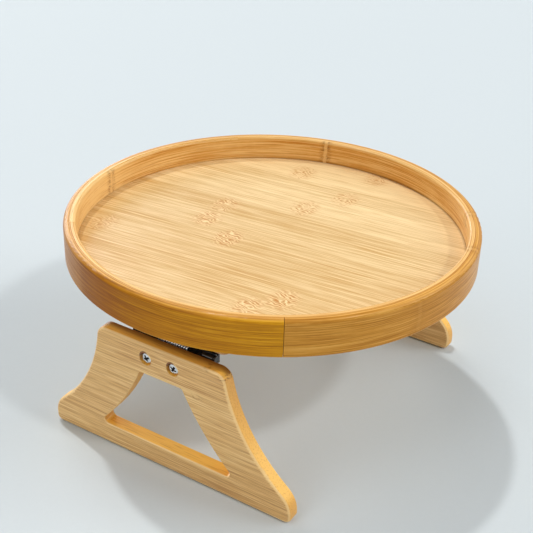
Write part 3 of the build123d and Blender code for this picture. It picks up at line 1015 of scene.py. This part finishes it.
class SOFATRAY_OT_wing_screws(bpy.types.Operator):
    """Makes the bright crowned screws in the wings' counterbores"""

    bl_idname = "sofatray.wing_screws"
    bl_label = "Wing screws"

    def execute(self, context):
        sizes, tones = chosen(context)
        # Chrome-plated steel: bright, its mirror dulled by fine polishing haze
        finish = {"rough": 0.26, "metallic": 1.0, "speckle": 0.1, "grit": 1.0, "shade": 0.98}
        material = metal("Steel, chrome plate, wing screws", tones.chrome, **finish)
        # The crowned head, then its rim, its underside, the shank and its point
        radius, height = head_rows(outer=3.5 * MM, crown=0.75 * MM, reach=2.6 * MM, fine=22)
        side_radius = np.array([3.66, 3.7, 3.7, 2.0, 2.0, 1.7]) * MM
        side_height = np.array([0.9, 1.15, 1.9, 1.9, 10.7, 11.0]) * MM
        profile = (np.concatenate([radius, side_radius]), np.concatenate([height, side_height]))
        points = screw_points(profile, 72, sizes, head_depth=0.8 * MM)
        # The head faces outwards along Y, then leans with the wing
        stand = np.array([[1.0, 0, 0], [0, 0, -1.0], [0, 1.0, 0]])
        cos, sin = math.cos(WING_LEAN), math.sin(WING_LEAN)
        lean = np.array([[1.0, 0, 0], [0, cos, sin], [0, -sin, cos]])
        x, y, z = WING_SCREW
        for side in ("front", "back"):
            half_turn = np.eye(3) if side == "back" else spun(math.pi)
            spots = []
            # Each screw stopped at its own twist, in radians
            for place, twist in (((-x, y, z), 0.5), ((x, y, z), 1.1)):
                centre = lean @ np.array(place) * MM
                spots.append((on_side(centre, side), half_turn @ lean @ stand @ spun(twist)))
            piece = many_screws(side + "_bright_screws", spots, points, material)
            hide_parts(side + "_wing_screws")
            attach(piece, side + "_clamp_wing")
        return {"FINISHED"}


class SOFATRAY_OT_flat_screws(bpy.types.Operator):
    """Makes the countersunk screws under the tray and in the hinges"""

    bl_idname = "sofatray.flat_screws"
    bl_label = "Countersunk screws"

    def execute(self, context):
        sizes, tones = chosen(context)
        # Zinc-plated steel, soft grey shine
        finish = {"rough": 0.3, "metallic": 1.0, "grit": 0.7}
        zinc = metal(
            "Steel, zinc plate, wood screws", tones.zinc, speckle=0.12, shade=0.9, **finish
        )
        # Steel with black oxide, satin
        black = metal(
            "Steel, black oxide, hinge screws", tones.black, speckle=0.5, shade=0.7, **finish
        )

        def spots_of(places, side=None):
            """Where the screws stand, each stopped at its own twist, in radians."""
            first, step = 0.7, 1.3
            spots = []
            for i, place in enumerate(places):
                spot = np.array(place) * MM
                spot = spot if side is None else on_side(spot, side)
                spots.append((spot, spun(first + step * i)))
            return spots

        def flat_screw(head, shank, reach):
            """A countersunk screw from its head's and shank's radii and its length, all in mm."""
            round_off, lip, point, tip = 0.12, 0.06, 1.2, 0.35
            cross = min(2.6, head - 0.5) * MM
            radius, height = head_rows((head - round_off) * MM, crown=0.0, reach=cross, fine=20)
            side_radius = np.array([head, shank, shank, shank * tip]) * MM
            side_height = np.array([lip, head - shank, reach - point, reach]) * MM
            profile = (np.concatenate([radius, side_radius]), np.concatenate([height, side_height]))
            return screw_points(profile, 60, sizes, head_depth=0.01 * MM)

        screw = flat_screw(head=3.7, shank=1.9, reach=14.0)
        piece = many_screws("board_screws", spots_of(BOARD_SCREWS), screw, zinc)
        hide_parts("crossboard_screws")
        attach(piece, "tray")
        screw = flat_screw(head=3.0, shank=1.7, reach=8.0)
        for side in ("front", "back"):
            spots = spots_of(BASE_SCREWS, side)
            piece = many_screws(side + "_plate_screws", spots, screw, black)
            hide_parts(side + "_base_screws")
            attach(piece, "tray")
        return {"FINISHED"}


class SOFATRAY_PT_panel(bpy.types.Panel):
    """Lists the tray's sizes, colours and steps"""

    bl_idname = "SOFATRAY_PT_panel"
    bl_label = "Sofa tray"
    bl_space_type = "VIEW_3D"
    bl_region_type = "UI"
    bl_category = "Sofa tray"

    def draw(self, context):
        layout = self.layout
        for group in (
            context.scene.sofa_tray_sizes,
            context.scene.sofa_tray_colours,
            context.scene.sofa_tray_stage,
        ):
            box = layout.box()
            for name in group.bl_rna.properties.keys():
                if name not in ("rna_type", "name"):
                    box.prop(group, name)
        for step in STEPS:
            layout.operator(step.bl_idname)


STEPS = (
    SOFATRAY_OT_stage,
    SOFATRAY_OT_tray_floor,
    SOFATRAY_OT_rim,
    SOFATRAY_OT_crossboard,
    SOFATRAY_OT_wings,
    SOFATRAY_OT_hinges,
    SOFATRAY_OT_springs,
    SOFATRAY_OT_wing_screws,
    SOFATRAY_OT_flat_screws,
)
GROUPS = (SofaTraySizes, SofaTrayColours, SofaTrayStage)


def register():
    for item in GROUPS + STEPS + (SOFATRAY_PT_panel,):
        bpy.utils.register_class(item)
    bpy.types.Scene.sofa_tray_sizes = PointerProperty(type=SofaTraySizes)
    bpy.types.Scene.sofa_tray_colours = PointerProperty(type=SofaTrayColours)
    bpy.types.Scene.sofa_tray_stage = PointerProperty(type=SofaTrayStage)


def unregister():
    del bpy.types.Scene.sofa_tray_stage
    del bpy.types.Scene.sofa_tray_colours
    del bpy.types.Scene.sofa_tray_sizes
    for item in reversed(GROUPS + STEPS + (SOFATRAY_PT_panel,)):
        bpy.utils.unregister_class(item)


def main():
    """Builds the dressed tray."""
    register()
    bpy.ops.sofatray.stage()
    bpy.ops.sofatray.tray_floor()
    bpy.ops.sofatray.rim()
    bpy.ops.sofatray.crossboard()
    bpy.ops.sofatray.wings()
    bpy.ops.sofatray.hinges()
    bpy.ops.sofatray.springs()
    bpy.ops.sofatray.wing_screws()
    bpy.ops.sofatray.flat_screws()


if __name__ == "__main__":
    main()
